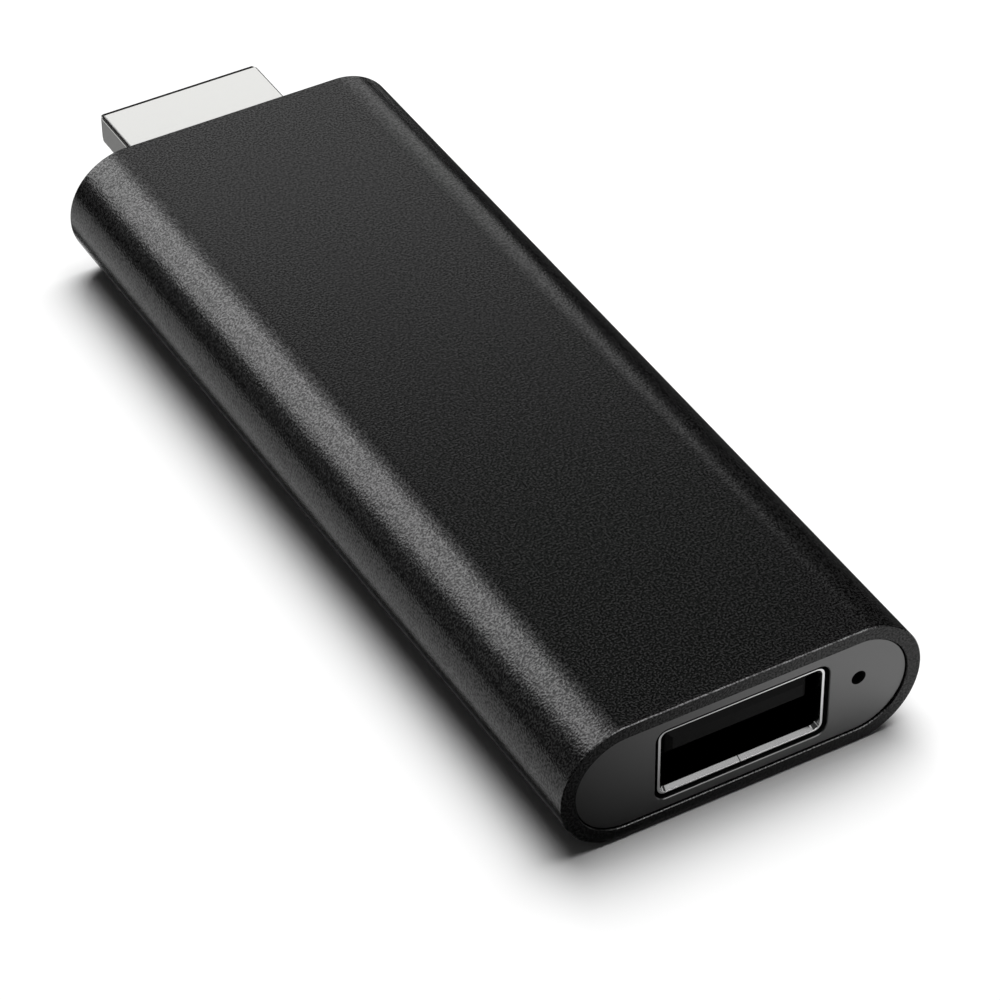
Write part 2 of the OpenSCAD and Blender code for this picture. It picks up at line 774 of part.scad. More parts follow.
// Rows of capacitors under the board, below the processor
module capacitors() {
    middle = (capacitor_count - [1, 1]) / 2;
    color("#9a8468") for (i = [0:capacitor_count[0] - 1], j = [0:capacitor_count[1] - 1])
        under_board([
            processor_at[0] + (i - middle[0]) * capacitor_pitch[0],
            processor_at[1] + (j - middle[1]) * capacitor_pitch[1]
        ], capacitor_size);
}

module clock_crystals() {
    x = wireless_at[0] + (wireless_size[0] + crystal_size[0]) / 2 + crystal_gap;
    color("#c9c9c4") for (offset = crystal_offsets) on_board([x, micro_y + offset], crystal_size);
}

module wireless_board() {
    color("#1d3f5c") on_board(wireless_at, wireless_size);
}

module wireless_shield() {
    margin = 0.5;
    low = [for (i = [0, 1]) wireless_at[i] - wireless_size[i] / 2 + margin];
    high = [for (i = [0, 1]) wireless_at[i] + wireless_size[i] / 2 - margin];
    base = board_top + wireless_size[2];
    color(port_steel) difference() {
        block([low[0], low[1], base], [high[0], high[1], base + wireless_can_h]);
        block([low[0] + can_sheet, low[1] + can_sheet, base - over],
              [high[0] - can_sheet, high[1] - can_sheet, base + wireless_can_h - can_sheet]);
    }
}

module chip_antennas() {
    pitch = antenna_size[1] + chip_gap;
    color("#e6e2d6") for (i = [0, 1])
        on_board([(antenna_size[0] - board_w) / 2 + chip_gap, board_front + (i + 0.5) * pitch], antenna_size);
}

// Shield and heat path: a soldered frame and a clipped lid over the processor, a gap
// filler under the lid, and a pad that carries heat on to the spreader plate.
module shield_frame() {
    color(port_steel) along_z(board_top, board_top + shield_h) translate([0, shield_mid]) difference() {
        square([shield_w, shield_l], center = true);
        square([shield_w - 2 * can_sheet, shield_l - 2 * can_sheet], center = true);
    }
}

module shield_lid() {
    skirt_h = 0.7;
    inside = [shield_w + 2 * slit, shield_l + 2 * slit];
    outside = inside + [2, 2] * can_sheet;
    under = shield_top - can_sheet;
    color(port_steel) translate([0, shield_mid, 0]) difference() {
        along_z(under - skirt_h, shield_top) square(outside, center = true);
        along_z(0, under) square(inside, center = true);
    }
}

module gap_filler() {
    from = board_top + processor_size[2];
    color("#b9c4cc") translate([processor_at[0], processor_at[1], 0])
        along_z(from, board_top + shield_h)
            round_rect(processor_size[0] - 2 * filler_inset, processor_size[1] - 2 * filler_inset, 0.5);
}

module thermal_pad() {
    color("#b9c4cc") translate([0, shield_mid, 0])
        along_z(shield_top, spreader_top - spreader_t)
            round_rect(shield_w - 2 * pad_inset, shield_l - 2 * pad_inset, 0.6);
}

module heat_spreader() {
    color("#b4b7ba") translate([0, shield_mid, 0]) along_z(spreader_top - spreader_t, spreader_top)
        round_rect(spreader_w, spreader_l, spreader_round);
}

outer_sleeve();
front_bezel();
rear_bezel();
board_tray();
board_screws();
main_board();
usb_a_shell();
usb_a_housing();
usb_a_contacts();
hdmi_shell();
hdmi_insulator();
hdmi_contacts();
micro_usb_shell();
micro_usb_housing();
micro_usb_contacts();
reset_switch_body();
reset_switch_cover();
reset_dome();
reset_plunger();
processor();
memory_chips();
flash_chip();
power_chip();
power_inductors();
capacitors();
clock_crystals();
wireless_board();
wireless_shield();
chip_antennas();
shield_frame();
shield_lid();
gap_filler();
thermal_pad();
heat_spreader();
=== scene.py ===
import math

import bmesh
import bpy
from mathutils import Matrix, Vector


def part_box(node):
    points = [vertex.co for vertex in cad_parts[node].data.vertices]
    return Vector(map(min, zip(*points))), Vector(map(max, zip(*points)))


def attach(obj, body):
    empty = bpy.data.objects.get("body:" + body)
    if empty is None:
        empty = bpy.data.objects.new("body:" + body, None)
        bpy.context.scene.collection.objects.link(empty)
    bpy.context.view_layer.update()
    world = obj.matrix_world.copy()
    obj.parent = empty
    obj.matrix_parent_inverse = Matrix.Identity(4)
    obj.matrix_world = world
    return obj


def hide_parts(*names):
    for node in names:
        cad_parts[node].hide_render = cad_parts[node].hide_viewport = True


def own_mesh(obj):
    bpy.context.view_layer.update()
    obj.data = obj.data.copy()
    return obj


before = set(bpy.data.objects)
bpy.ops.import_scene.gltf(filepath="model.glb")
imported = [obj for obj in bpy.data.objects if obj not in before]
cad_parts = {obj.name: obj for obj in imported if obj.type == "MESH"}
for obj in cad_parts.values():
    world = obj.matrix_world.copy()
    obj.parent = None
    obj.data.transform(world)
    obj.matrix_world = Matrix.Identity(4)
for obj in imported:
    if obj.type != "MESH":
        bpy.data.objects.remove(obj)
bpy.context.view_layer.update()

MM = 0.001


# Main board and wireless board: glass-fibre laminate under solder mask, routed to
# shape and drilled. Chips, crystals and connectors are soldered to both faces.
def colour(code):
    """Linear colour of an sRGB hex value."""
    parts = [int(code[i:i + 2], 16) / 255 for i in (1, 3, 5)]
    linear = [c / 12.92 if c <= 0.04045 else ((c + 0.055) / 1.055) ** 2.4 for c in parts]
    return (*linear, 1.0)


def feed(tree, node, inputs):
    """Sets a node's sockets, or links them to the outputs of other nodes."""
    for socket, value in inputs.items():
        if isinstance(value, bpy.types.NodeSocket):
            tree.links.new(value, node.inputs[socket])
        else:
            node.inputs[socket].default_value = value


def add_node(tree, kind, inputs=None, **settings):
    """Adds a node, sets its properties and feeds it."""
    made = tree.nodes.new("ShaderNode" + kind)
    for name, value in settings.items():
        setattr(made, name, value)
    feed(tree, made, inputs or {})
    return made


def new_material(name):
    """A new material, its node tree, its shader and its Object coordinates."""
    made = bpy.data.materials.new(name)
    made.use_nodes = True
    tree = made.node_tree
    return made, tree, tree.nodes["Principled BSDF"], add_node(tree, "TexCoord").outputs["Object"]


def two_tones(tree, share, dark, light, low=0.0, high=1.0):
    """A colour that runs from a dark tone to a light one as the share goes from low to high."""
    ramp = add_node(tree, "ValToRGB", {"Fac": share})
    for stop, position, code in zip(ramp.color_ramp.elements, (low, high), (dark, light)):
        stop.position = position
        stop.color = colour(code)
    return ramp.outputs["Color"]


def repeat_of(size_mm):
    """Texture scale at which one feature is that many millimetres wide."""
    return 1 / (size_mm * MM)


def bump(tree, height, strength, depth_mm):
    """A normal that follows a texture as a relief of that many millimetres."""
    made = add_node(
        tree, "Bump", {"Height": height, "Strength": strength, "Distance": depth_mm * MM}
    )
    return made.outputs["Normal"]


def dress(material, *names):
    """Gives carried-over solids their material."""
    for name in names:
        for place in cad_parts[name].material_slots:
            place.material = material


# Solder mask: a thin glossy lacquer, slightly uneven where copper runs below it.
for mask_name, mask_dark, mask_light, mask_node in (
    ("solder_mask_green", "#173d29", "#225a3c", "main_board"),
    ("solder_mask_blue", "#16324a", "#1f4766", "wireless_board"),
):
    mask, tree, shader, place = new_material(mask_name)
    copper = add_node(
        tree, "TexVoronoi", {"Vector": place, "Scale": repeat_of(1.2)}, distance="MANHATTAN"
    )
    shades = two_tones(tree, copper.outputs["Distance"], mask_dark, mask_light)
    relief = bump(tree, copper.outputs["Distance"], 0.3, 0.02)
    feed(tree, shader, {
        "Base Color": shades, "Normal": relief, "Roughness": 0.32, "IOR": 1.52,
    })
    dress(mask, mask_node)


# Chips and the reset switch's body: epoxy moulded round the silicon, black and
# faintly sandy where the mould was blasted. They are soldered to the board.
def noise(tree, place, size_mm, detail):
    """A noise texture with features of that many millimetres."""
    made = add_node(
        tree, "TexNoise", {"Vector": place, "Scale": repeat_of(size_mm), "Detail": detail}
    )
    return made.outputs["Fac"]


epoxy, tree, shader, place = new_material("moulded_epoxy_black")
sand = noise(tree, place, 0.12, 3.0)
shades = two_tones(tree, sand, "#1b1c1e", "#2b2c2f")
relief = bump(tree, sand, 0.4, 0.01)
feed(tree, shader, {
    "Base Color": shades, "Normal": relief, "Roughness": 0.6, "IOR": 1.55,
})
dress(epoxy, "processor", "memory_chips", "flash_chip", "power_chip", "reset_switch_body")


# Inductors, capacitors and antennas: pressed ferrite and fired ceramics with a dry,
# fine-grained face. Each is soldered to the board at its ends.
for body_name, body_dark, body_light, body_rough, body_node in (
    ("pressed_ferrite_grey", "#303236", "#44474c", 0.7, "power_inductors"),
    ("fired_ceramic_tan", "#8a7458", "#a89070", 0.45, "capacitors"),
    ("fired_ceramic_white", "#dcd8ca", "#eeeadf", 0.4, "chip_antennas"),
):
    ceramic, tree, shader, place = new_material(body_name)
    powder = noise(tree, place, 0.15, 4.0)
    shades = two_tones(tree, powder, body_dark, body_light)
    feed(tree, shader, {"Base Color": shades, "Roughness": body_rough, "IOR": 1.6})
    dress(ceramic, body_node)


# Shield frame and lid, wireless can, crystals, switch cover and snap dome: tinned steel
# sheet, folded or drawn, with the faint lines of the rolling mill. In the switch the dome
# flattens against the back wall when the plunger is pressed; here it keeps its CAD shape.
tinned, tree, shader, place = new_material("tinned_steel_rolled")
mill = add_node(tree, "Mapping", {"Vector": place, "Scale": (1.0, 0.04, 1.0)})
lines = noise(tree, mill.outputs["Vector"], 0.1, 2.0)
gloss = add_node(tree, "MapRange", {"Value": lines, "To Min": 0.24, "To Max": 0.4})
feed(tree, shader, {
    "Roughness": gloss.outputs["Result"], "Base Color": colour("#c6c6c4"), "Metallic": 1.0,
})
dress(
    tinned, "shield_frame", "shield_lid", "wireless_shield", "clock_crystals", "reset_switch_cover"
)


def add_piece(name, shape, material, slot, *nodes, crease=50):
    """Makes a finished piece that rides with the stick and stands for its solids."""
    mesh = bpy.data.meshes.new(name)
    shape.to_mesh(mesh)
    shape.free()
    mesh.materials.append(material)
    mesh.shade_smooth()
    mesh.set_sharp_from_angle(angle=math.radians(crease))
    piece = bpy.data.objects.new(name, mesh)
    bpy.context.scene.collection.objects.link(piece)
    flats = piece.modifiers.new("flat_faces", "WEIGHTED_NORMAL")
    flats.keep_sharp = True
    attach(piece, "stick")
    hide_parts(*nodes)
    return piece


weld = 0.0005 * MM
dome_shape = bmesh.new()
dome_shape.from_mesh(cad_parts["reset_dome"].data)
bmesh.ops.remove_doubles(dome_shape, verts=dome_shape.verts[:], dist=weld)
dome = add_piece("snap_dome", dome_shape, tinned, "can_steel", "reset_dome")
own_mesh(dome)


# Reset plunger: a small pusher moulded in ivory nylon. Its flange is trapped behind
# the switch's front wall and its pip rests on the dome.
nylon, tree, shader, place = new_material("moulded_nylon_ivory")
flow = noise(tree, place, 0.6, 2.0)
shades = two_tones(tree, flow, "#ddd8c8", "#efebdf")
feed(tree, shader, {"Base Color": shades, "Roughness": 0.42, "IOR": 1.53})
dress(nylon, "reset_plunger")


# Thermal pad and gap filler: soft silicone full of ceramic powder, cut from sheet and
# pressed between the processor, the shield and the spreader.
silicone, tree, shader, place = new_material("filled_silicone_grey")
filler = noise(tree, place, 0.2, 5.0)
shades = two_tones(tree, filler, "#a7b3bc", "#c6d0d7")
feed(tree, shader, {"Base Color": shades, "Roughness": 0.75, "IOR": 1.42})
dress(silicone, "thermal_pad", "gap_filler")


# Heat spreader: aluminium plate, stamped and left in its mill finish, held on the
# pad under the sleeve's ceiling.
aluminium, tree, shader, place = new_material("aluminium_mill_finish")
mill = add_node(tree, "Mapping", {"Vector": place, "Scale": (1.0, 0.03, 1.0)})
lines = noise(tree, mill.outputs["Vector"], 0.15, 3.0)
gloss = add_node(tree, "MapRange", {"Value": lines, "To Min": 0.3, "To Max": 0.48})
feed(tree, shader, {
    "Roughness": gloss.outputs["Result"], "Base Color": colour("#d3d4d5"), "Metallic": 1.0,
})
dress(aluminium, "heat_spreader")


# Contacts of the three connectors: thin bronze strips plated with gold, pressed into
# their insulators. The plating is smooth, with slight waves from stamping.
gold, tree, shader, place = new_material("gold_plated_bronze")
waves = noise(tree, place, 0.4, 2.0)
gloss = add_node(tree, "MapRange", {"Value": waves, "To Min": 0.16, "To Max": 0.28})
feed(tree, shader, {
    "Roughness": gloss.outputs["Result"], "Base Color": colour("#e6bf6a"), "Metallic": 1.0,
})
dress(gold, "usb_a_contacts", "hdmi_contacts", "micro_usb_contacts")


# Housing of the USB-A port: a black glass-filled nylon base with a tongue that carries
# the contacts. The tongue's mouth end is bevelled so that a plug finds its way.
port_nylon, tree, shader, place = new_material("glass_filled_nylon_black")
fibres = noise(tree, place, 0.18, 3.0)
shades = two_tones(tree, fibres, "#0a0a0a", "#121212")
relief = bump(tree, fibres, 0.25, 0.01)
feed(tree, shader, {
    "Base Color": shades, "Normal": relief, "Roughness": 0.65, "IOR": 1.53,
    "Specular IOR Level": 0.1,
})
dress(port_nylon, "usb_a_housing", "hdmi_insulator", "micro_usb_housing")


# Shell of the USB-A port: steel strip folded into a mouth with its seam underneath,
# bright nickel plated. Its wings are soldered to the board.
def move(shape, way):
    """Moves a whole shape."""
    bmesh.ops.translate(shape, verts=shape.verts[:], vec=way)
    return shape


def verts_of(geom):
    """The vertices among what an operator returns."""
    return [part for part in geom if isinstance(part, bmesh.types.BMVert)]


def pull(shape, way):
    """Pulls a flat shape into a closed solid."""
    pulled = bmesh.ops.extrude_face_region(shape, geom=shape.faces[:])["geom"]
    bmesh.ops.translate(shape, verts=verts_of(pulled), vec=way)
    bmesh.ops.recalc_face_normals(shape, faces=shape.faces[:])
    return shape


def upright(shape, y, z):
    """Turns a plan into a section that faces along Y, centred at a height."""
    bmesh.ops.rotate(shape, verts=shape.verts[:], matrix=Matrix.Rotation(math.pi / 2, 3, "X"))
    return move(shape, (0, y, z))


def round_off(shape, found, radius, steps, kind="VERTICES"):
    """Rounds corners, or edges."""
    bmesh.ops.bevel(
        shape, geom=found, offset=radius, segments=steps, profile=0.5, affect=kind, material=-1
    )


def round_plate(width, height, radius, steps=6):
    """A flat rectangle with round corners, centred on the origin."""
    shape = bmesh.new()
    bmesh.ops.create_grid(shape, x_segments=1, y_segments=1, size=0.5)
    bmesh.ops.scale(shape, verts=shape.verts[:], vec=(width, height, 1))
    round_off(shape, shape.verts[:], radius, steps)
    return shape


def add_block(shape, size, centre=(0, 0, 0)):
    """Adds a block to a shape and returns its corners."""
    corners = bmesh.ops.create_cube(shape, size=1)["verts"]
    bmesh.ops.scale(shape, verts=corners, vec=size)
    bmesh.ops.translate(shape, verts=corners, vec=centre)
    return corners


def carve(body, tool, operation="DIFFERENCE"):
    """Takes a closed shape from a body, or adds it, and returns the result."""
    pair = []
    for shape in (body, tool):
        mesh = bpy.data.meshes.new("carving")
        shape.to_mesh(mesh)
        shape.free()
        pair.append(bpy.data.objects.new("carving", mesh))
        bpy.context.scene.collection.objects.link(pair[-1])
    knife = pair[0].modifiers.new("carve", "BOOLEAN")
    knife.operation = operation
    knife.object = pair[1]
    solver_result = pair[0].evaluated_get(bpy.context.evaluated_depsgraph_get())
    left = bmesh.new()
    left.from_mesh(solver_result.data)
    for used in pair:
        mesh = used.data
        bpy.data.objects.remove(used)
        bpy.data.meshes.remove(mesh)
    bmesh.ops.remove_doubles(left, verts=left.verts[:], dist=weld)
    return left


def end_face(shape, pick):
    """The end cap of a solid that runs along Y: min for the front one, max for the rear one."""
    return pick(shape.faces, key=lambda f: f.calc_center_median().y)


def step_in(shape, cap, *steps):
    """Steps an end cap in by widths and rises along its normal, and leaves rims round it."""
    for width, rise in steps:
        bmesh.ops.inset_region(
            shape, faces=[cap], use_even_offset=True, thickness=width, depth=rise
        )


def narrow(shape, cap, share_x, share_z):
    """Narrows an end cap about its middle, to a share of its width and of its height."""
    middle = Matrix.Translation(-cap.calc_center_median())
    bmesh.ops.scale(shape, verts=cap.verts[:], vec=(share_x, 1, share_z), space=middle)


def bore(shape, cap, far_cap):
    """Takes two end caps out and joins their edges, which makes a tube."""
    rims = list(cap.edges) + list(far_cap.edges)
    bmesh.ops.delete(shape, geom=[cap, far_cap], context="FACES_ONLY")
    bmesh.ops.bridge_loops(shape, edges=rims)
    bmesh.ops.recalc_face_normals(shape, faces=shape.faces[:])


def break_edges(shape, radius, steps, chosen, sharp_from=40):
    """Rounds the edges sharper than an angle that the test picks by their middle point."""
    sharp = [
        e for e in shape.edges
        if len(e.link_faces) == 2 and e.calc_face_angle() > math.radians(sharp_from)
        and chosen((e.verts[0].co + e.verts[1].co) / 2)
    ]
    round_off(shape, sharp, radius, steps, "EDGES")


usb_low, usb_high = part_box("usb_a_shell")
usb_recess = 0.15 * MM
usb_front, usb_back = usb_low.y + usb_recess, usb_high.y
usb_middle = (usb_low.z + usb_high.z) / 2
usb_width, usb_height, usb_corner = 13.1 * MM, 5.72 * MM, 0.65 * MM
usb_sheet, usb_seam = 0.3 * MM, 0.07 * MM
flare_depth, flare_rise, usb_lip_round, lip_zone = 0.38 * MM, 0.18 * MM, 0.02 * MM, 0.01 * MM
past = 1 * MM

usb_section = upright(round_plate(usb_width, usb_height, usb_corner), usb_front, usb_middle)
usb_shell = pull(usb_section, (0, usb_back - usb_front, 0))
usb_mouth, usb_end = end_face(usb_shell, min), end_face(usb_shell, max)
lip_sheet, side_sheet = usb_sheet - flare_rise, 0.2 * MM
step_in(usb_shell, usb_mouth, (lip_sheet, 0))
narrow(usb_shell, usb_mouth, (usb_width - 2 * side_sheet) / (usb_width - 2 * lip_sheet), 1)
step_in(usb_shell, usb_mouth, (0, -flare_depth))
narrow(
    usb_shell, usb_mouth, (usb_width - 2 * usb_sheet) / (usb_width - 2 * side_sheet),
    (usb_height - 2 * usb_sheet) / (usb_height - 2 * lip_sheet),
)
step_in(usb_shell, usb_end, (usb_sheet, 0))
bore(usb_shell, usb_mouth, usb_end)
seam_cut = bmesh.new()
add_block(
    seam_cut, (usb_seam, 3 * (usb_back - usb_front), 4 * usb_sheet),
    (0, usb_front, usb_middle - usb_height / 2),
)
usb_shell = carve(usb_shell, seam_cut)

finger_width, finger_length, finger_sheet, finger_slit = 2.2 * MM, 6 * MM, 0.2 * MM, 0.2 * MM
finger_start, finger_heel, finger_dip = usb_front + 3 * MM, 0.3 * MM, math.radians(3)
finger_places = (-3.1 * MM, 3.1 * MM)
for finger_x in finger_places:
    slot_cut = bmesh.new()
    add_block(
        slot_cut, (finger_width + 2 * finger_slit, finger_length, 2 * usb_height),
        (finger_x, finger_start + finger_length / 2, usb_middle),
    )
    usb_shell = carve(usb_shell, slot_cut)
break_edges(usb_shell, usb_lip_round, 2, lambda p: p.y < usb_front + lip_zone)
for finger_x in finger_places:
    for side in (1, -1):
        finger = add_block(
            usb_shell, (finger_width, finger_length, finger_sheet),
            (0, finger_heel - finger_length / 2, side * finger_sheet / 2),
        )
        bmesh.ops.rotate(usb_shell, verts=finger, matrix=Matrix.Rotation(side * finger_dip, 3, "X"))
        finger_z = usb_middle + side * (usb_height / 2 - usb_sheet)
        bmesh.ops.translate(
            usb_shell, verts=finger, vec=(finger_x, finger_start + finger_length, finger_z)
        )
wing_length, wing_reach = 2.4 * MM, usb_high.x - usb_width / 2 + usb_sheet
board_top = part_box("main_board")[1].z
for side in (-1, 1):
    add_block(
        usb_shell, (wing_reach, wing_length, usb_sheet),
        (
            side * (usb_high.x - wing_reach / 2), (usb_front + usb_back) / 2,
            board_top + usb_sheet / 2,
        ),
    )

# Bright nickel: a mirror-like plate that keeps the faint waves of the rolled strip. Behind
# the flare its colour is painted dark: painted shade for the inside of the mouth.
nickel, tree, shader, place = new_material("bright_nickel_plate")
waves = noise(tree, place, 1.5, 2.0)
gloss = add_node(tree, "MapRange", {"Value": waves, "To Min": 0.1, "To Max": 0.2})
relief = bump(tree, waves, 0.1, 0.02)
feed(tree, shader, {"Roughness": gloss.outputs["Result"], "Normal": relief})
# The colour runs from bright to dark with depth past the flare: painted shade inside the mouth.
depth = add_node(tree, "SeparateXYZ", {"Vector": place})
mouth_shade_start, mouth_shade_fade = usb_front + flare_depth, 0.15 * MM
mouth_shade_share = add_node(
    tree, "MapRange",
    {"Value": depth.outputs["Y"], "From Min": mouth_shade_start, "From Max": mouth_shade_start + mouth_shade_fade},
)
shades = two_tones(tree, mouth_shade_share.outputs["Result"], "#dcdcdc", "#161616")
feed(tree, shader, {"Base Color": shades, "Metallic": 1.0})
add_piece("usb_port_shell", usb_shell, nickel, "port_steel", "usb_a_shell", crease=20)


# Shell of the plug: steel strip folded round the insulator, satin nickel plated, with
# two latch windows underneath. The edge of its tip is rolled round.
plug_low, plug_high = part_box("hdmi_shell")
plug_front, plug_back = plug_high.y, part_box("hdmi_insulator")[0].y
plug_width, plug_height, plug_base, plug_side = 13.9 * MM, 4.45 * MM, 10.3 * MM, 2.4 * MM
plug_sheet, plug_bend, plug_round, blunt_bend = 0.3 * MM, 0.35 * MM, 0.1 * MM, 0.4
lead_length, lead_drop = 0.42 * MM, 0.15 * MM
plug_middle = plug_high.z - plug_height / 2


def plug_section(inset, y_from, y_to):
    """A solid with the plug's keyed section, set in by the sheet's thickness or not at all."""
    shape = bmesh.new()
    slope = math.atan2(plug_height - plug_side, (plug_width - plug_base) / 2)
    side_x = plug_width / 2 - inset
    side_z = plug_height / 2 - plug_side + inset * (1 - math.sin(slope)) / math.cos(slope)
    base_x = plug_base / 2 - inset * (1 - math.cos(slope)) / math.sin(slope)
    top_z, base_z = plug_height / 2 - inset, inset - plug_height / 2
    right = [(side_x, top_z), (side_x, side_z), (base_x, base_z)]
    corners = right + [(-x, z) for x, z in reversed(right)]
    shape.faces.new([shape.verts.new((x, 0, plug_middle + z)) for x, z in corners])
    radius = plug_bend - inset
    blunt = [v for v in shape.verts if v.co.z < plug_middle + top_z - radius]
    square = [v for v in shape.verts if v.co.z > plug_middle + top_z - radius]
    for found, share in ((square, 1), (blunt, blunt_bend)):
        round_off(shape, found, share * radius, steps=8)
    return pull(move(shape, (0, y_from, 0)), (0, y_to - y_from, 0))


plug_shell = plug_section(0, plug_back, plug_front - plug_round - lead_length)
tip_steps = 4
tip_turns = [math.pi / 2 * k / tip_steps for k in range(tip_steps + 1)]
step_in(
    plug_shell, end_face(plug_shell, max), (lead_drop, lead_length),
    *((plug_round * (math.cos(a) - math.cos(b)), plug_round * (math.sin(b) - math.sin(a)))
      for a, b in zip(tip_turns, tip_turns[1:])),
)
plug_shell = carve(plug_shell, plug_section(plug_sheet, plug_back - past, plug_front + past))
latch_width, latch_length, latch_round = 1.2 * MM, 2 * MM, 0.3 * MM
latch_x, latch_set = 2.6 * MM, 4.4 * MM
fin_length, fin_top = plug_back + plug_sheet - plug_low.y, plug_middle + plug_height / 4
for side in (-1, 1):
    latch_cut = round_plate(latch_width, latch_length, latch_round, steps=4)
    move(latch_cut, (side * latch_x, plug_front - latch_set, 0))
    plug_shell = carve(plug_shell, pull(latch_cut, (0, 0, plug_middle)))
    fin_x = side * (plug_width - plug_sheet) / 2
    add_block(
        plug_shell, (plug_sheet, fin_length, fin_top - board_top),
        (fin_x, plug_low.y + fin_length / 2, (fin_top + board_top) / 2),
    )

# Satin nickel: bright, with the soft lengthwise lines of the strip under the plate.
satin, tree, shader, place = new_material("satin_nickel_plate")
strip = add_node(tree, "Mapping", {"Vector": place, "Scale": (1.0, 0.05, 1.0)})
lines = noise(tree, strip.outputs["Vector"], 0.12, 2.0)
gloss = add_node(tree, "MapRange", {"Value": lines, "To Min": 0.15, "To Max": 0.18})
feed(tree, shader, {
    "Roughness": gloss.outputs["Result"], "Base Color": colour("#c2c2c0"), "Metallic": 1.0,
})
add_piece("plug_shell", plug_shell, satin, "plug_steel", "hdmi_shell", crease=15)
dress(satin, "micro_usb_shell")


# Tray and screws: a channel moulded in dark ABS slides into the sleeve and carries the
# board on its ledges. Four small nickel plated screws go into its bosses.
tray_abs, tree, shader, place = new_material("moulded_abs_dark_grey")
flow = noise(tree, place, 0.8, 3.0)
shades = two_tones(tree, flow, "#262628", "#303033")
feed(tree, shader, {"Base Color": shades, "Roughness": 0.5, "IOR": 1.53})
dress(tray_abs, "board_tray")

screw_nickel, tree, shader, place = new_material("nickel_plated_screw_steel")
turning = noise(tree, place, 0.2, 2.0)
gloss = add_node(tree, "MapRange", {"Value": turning, "To Min": 0.25, "To Max": 0.4})
feed(tree, shader, {
    "Roughness": gloss.outputs["Result"], "Base Color": colour("#b9b9bb"), "Metallic": 1.0,
})
dress(screw_nickel, "board_screws")


# Sleeve: a tube with round sides, moulded in black ABS against a spark-eroded tool. It
# slides over the tray, with a window for the power inlet in its right side.
def stadium_solid(width, height, y_from, y_to, z, steps=128):
    """A solid with round sides that runs along Y."""
    shape = bmesh.new()
    ring = bmesh.ops.create_circle(shape, cap_ends=True, radius=height / 2, segments=steps)["verts"]
    bmesh.ops.rotate(shape, verts=ring, matrix=Matrix.Rotation(math.pi / steps, 3, "Z"))
    for side in (-1, 1):
        half = [v for v in ring if v.co.x * side > 0]
        bmesh.ops.translate(shape, verts=half, vec=(side * (width - height) / 2, 0, 0))
    return pull(upright(shape, y_from, z), (0, y_to - y_from, 0))


sleeve_low, sleeve_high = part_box("outer_sleeve")
sleeve_width, sleeve_height = sleeve_high.x - sleeve_low.x, sleeve_high.z - sleeve_low.z
sleeve_front, sleeve_back, sleeve_middle = sleeve_low.y, sleeve_high.y, sleeve_height / 2
sleeve_wall, sleeve_edge, mouth_edge = 1.1 * MM, 0.07 * MM, 0.05 * MM
sleeve = stadium_solid(
    sleeve_width, sleeve_height,
    sleeve_front + sleeve_edge, sleeve_back - sleeve_edge, sleeve_middle,
)
sleeve_ends = end_face(sleeve, min), end_face(sleeve, max)
for mouth in sleeve_ends:
    step_in(
        sleeve, mouth, (sleeve_edge, sleeve_edge),
        (sleeve_wall - sleeve_edge - mouth_edge, 0), (mouth_edge, -mouth_edge),
    )
bore(sleeve, *sleeve_ends)
hollow_width, hollow_height = sleeve_width - 2 * sleeve_wall, sleeve_height - 2 * sleeve_wall

inlet_low, inlet_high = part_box("micro_usb_housing")
inlet_middle = (inlet_low.y + inlet_high.y) / 2
window_width, window_height, window_round = 8.3 * MM, 3.25 * MM, 0.8 * MM
window_cut = upright(round_plate(window_width, window_height, window_round), 0, sleeve_middle)
quarter_turn = Matrix.Rotation(math.pi / 2, 3, "Z")
bmesh.ops.rotate(window_cut, verts=window_cut.verts[:], matrix=quarter_turn)
move(window_cut, (sleeve_high.x - sleeve_height / 2, inlet_middle, 0))
sleeve = carve(sleeve, pull(window_cut, (sleeve_height / 2 + past, 0, 0)))

# Spark-eroded ABS: matte black, with a fine even grain whose tips shine more than its pits,
# so that highlights break into specks. The tool's grain is about 0.1 mm, and it is drawn
# coarser so that it shows in the picture.
grained, tree, shader, place = new_material("abs_spark_eroded_black")
grain = noise(tree, place, 0.15, 0.0)
relief = bump(tree, grain, 0.5, 0.025)
shades = two_tones(tree, grain, "#000000", "#1e1e1e", low=0.4, high=0.66)
sheen = add_node(
    tree, "MapRange",
    {"Value": grain, "From Min": 0.3, "From Max": 0.7, "To Min": 0.1, "To Max": 0.3},
)
feed(tree, shader, {
    "Base Color": shades, "Normal": relief, "Roughness": 0.24, "IOR": 1.5,
    "Specular IOR Level": sheen.outputs["Result"],
})
sleeve_piece = add_piece("sleeve", sleeve, grained, "sleeve", "outer_sleeve", crease=30)


# Bezels: two caps moulded in dark grey PC, smooth and satin, that snap into the sleeve's
# ends. The front one has the port's window and the pinhole, the rear one the plug's window.
bezel_wall, bezel_face_t, bezel_fit = 0.7 * MM, 1.4 * MM, 0.06 * MM
bezel_edge, window_break, touch = 0.05 * MM, 0.05 * MM, 0.001 * MM
front_low, front_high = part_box("front_bezel")
rear_low, rear_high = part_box("rear_bezel")
bezel_width = front_high.x - front_low.x
bezel_height = hollow_height - 2 * bezel_fit
ridge_length, ridge_width, ridge_set, ridge_crown = 5 * MM, 0.9 * MM, 1 * MM, 0.3
ridge_x = (hollow_width - hollow_height) / 4
ridge_height = (front_high.z - front_low.z - bezel_height) / 2


